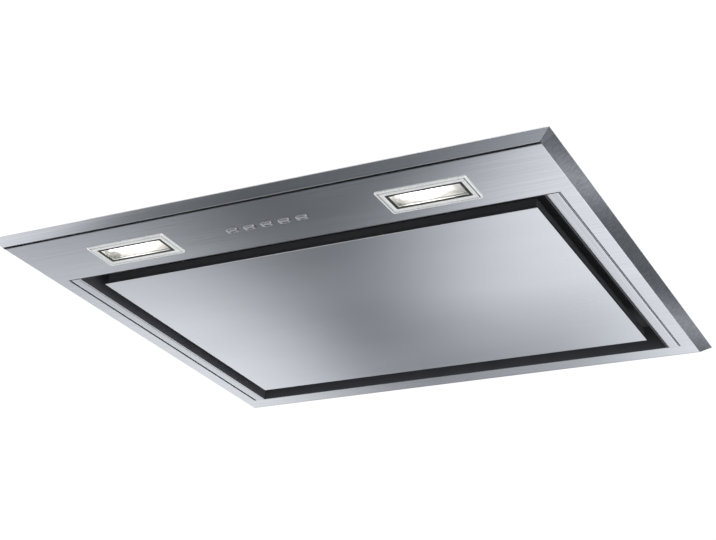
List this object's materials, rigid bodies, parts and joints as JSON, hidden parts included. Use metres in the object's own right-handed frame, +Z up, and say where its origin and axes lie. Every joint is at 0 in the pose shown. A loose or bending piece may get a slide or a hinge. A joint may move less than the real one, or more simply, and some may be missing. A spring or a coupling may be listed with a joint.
{
  "type": "built-in range hood",
  "caption": "Built-in range hood: steel underside with a swing-down suction panel, filters, lamps, push buttons, and a centrifugal blower in a box with an outlet collar",
  "frame": {"origin": "centre of the underside's outline, level with the faces of the push buttons", "axes": "+X to the right along the front edge seen from the front, +Y to the rear, +Z up"},
  "size_m": [0.598, 0.515, 0.2],
  "materials": {
    "steel_underside": "fine brushed stainless steel",
    "steel_panel": "fine brushed stainless steel",
    "black_paint": "satin black paint",
    "spring_steel": "bright spring steel",
    "galvanised": "galvanised sheet",
    "filter_aluminium": "satin aluminium",
    "filter_mesh": "expanded aluminium mesh",
    "latch_plastic": "moulded dark grey plastic",
    "motor_metal": "grey paint",
    "collar_plastic": "moulded black plastic",
    "switch_plastic": "moulded black plastic",
    "box_plastic": "moulded grey plastic",
    "capacitor_can": "drawn aluminium",
    "transformer_case": "black paint",
    "lamp_bezel": "bright brushed steel",
    "lamp_glass": "frosted glass",
    "reflector": "bright anodised reflector",
    "bulb": "lit halogen capsule",
    "socket_ceramic": "bare ceramic",
    "button_chrome": "bright chrome plating"
  },
  "bodies": {
    "hood": {"cable_gland": "box_plastic", "capacitor": "capacitor_can", "duct_collar": "collar_plastic", "flap_spindle": "spring_steel", "front_trim": "steel_underside", "hinge_brackets": "black_paint", "hinge_pins": "spring_steel", "inlet_ring": "galvanised", "lamp_clips": "spring_steel", "lamp_transformer": "transformer_case", "left_bracket": "galvanised", "left_filter_frame": "filter_aluminium", "left_filter_mesh": "filter_mesh", "left_lamp_bezel": "lamp_bezel", "left_lamp_bulb": "bulb", "left_lamp_glass": "lamp_glass", "left_lamp_housing": "galvanised", "left_lamp_reflector": "reflector", "left_lamp_socket": "socket_ceramic", "left_side_trim": "steel_underside", "motor": "motor_metal", "motor_bracket": "galvanised", "motor_housing": "galvanised", "panel_catches": "spring_steel", "plenum_box": "galvanised", "right_bracket": "galvanised", "right_filter_frame": "filter_aluminium", "right_filter_mesh": "filter_mesh", "right_lamp_bezel": "lamp_bezel", "right_lamp_bulb": "bulb", "right_lamp_glass": "lamp_glass", "right_lamp_housing": "galvanised", "right_lamp_reflector": "reflector", "right_lamp_socket": "socket_ceramic", "right_side_trim": "steel_underside", "scroll_base": "galvanised", "scroll_cover": "galvanised", "suction_frame": "black_paint", "switch_body": "switch_plastic", "terminal_box": "box_plastic", "terminal_box_cover": "box_plastic", "underside_pan": "steel_underside"},
    "panel": {"panel_skin": "steel_panel", "panel_tray": "black_paint", "panel_hinge_lugs": "black_paint", "catch_tongues": "black_paint"},
    "impeller": {"impeller": "galvanised", "motor_shaft": "spring_steel"},
    "left_flap": {"left_flap": "collar_plastic"},
    "right_flap": {"right_flap": "collar_plastic"},
    "left_filter_latch": {"left_filter_latch": "latch_plastic"},
    "right_filter_latch": {"right_filter_latch": "latch_plastic"},
    "button_1": {"button_1": "button_chrome"},
    "button_2": {"button_2": "button_chrome"},
    "button_3": {"button_3": "button_chrome"},
    "button_4": {"button_4": "button_chrome"},
    "button_5": {"button_5": "button_chrome"}
  },
  "joints": [
    {"name": "panel_hinge", "type": "hinge", "parent": "hood", "child": "panel", "pos_m": [0, 0.1871, 0.018], "axis": [1, 0, 0], "range_deg": [0, 85]},
    {"name": "impeller_spin", "type": "hinge", "parent": "hood", "child": "impeller", "pos_m": [-0.062, 0.0975, 0.079], "axis": [0, 0, 1], "continuous": true},
    {"name": "left_flap_hinge", "type": "hinge", "parent": "hood", "child": "left_flap", "pos_m": [0.08405, 0.138, 0.169], "axis": [0, 1, 0], "range_deg": [0, 75]},
    {"name": "right_flap_hinge", "type": "hinge", "parent": "hood", "child": "right_flap", "pos_m": [0.08405, 0.138, 0.169], "axis": [0, -1, 0], "range_deg": [0, 75]},
    {"name": "left_filter_latch_slide", "type": "slide", "parent": "hood", "child": "left_filter_latch", "axis": [0, 1, 0], "range_m": [0, 0.005], "stiffness_N_per_m": 200},
    {"name": "right_filter_latch_slide", "type": "slide", "parent": "hood", "child": "right_filter_latch", "axis": [0, 1, 0], "range_m": [0, 0.005], "stiffness_N_per_m": 200},
    {"name": "button_1_press", "type": "slide", "parent": "hood", "child": "button_1", "axis": [0, 0, 1], "range_m": [0, 0.0025], "stiffness_N_per_m": 300},
    {"name": "button_2_press", "type": "slide", "parent": "hood", "child": "button_2", "axis": [0, 0, 1], "range_m": [0, 0.0025], "stiffness_N_per_m": 300},
    {"name": "button_3_press", "type": "slide", "parent": "hood", "child": "button_3", "axis": [0, 0, 1], "range_m": [0, 0.0025], "stiffness_N_per_m": 300},
    {"name": "button_4_press", "type": "slide", "parent": "hood", "child": "button_4", "axis": [0, 0, 1], "range_m": [0, 0.0025], "stiffness_N_per_m": 300},
    {"name": "button_5_press", "type": "slide", "parent": "hood", "child": "button_5", "axis": [0, 0, 1], "range_m": [0, 0.0025], "stiffness_N_per_m": 300}
  ]
}
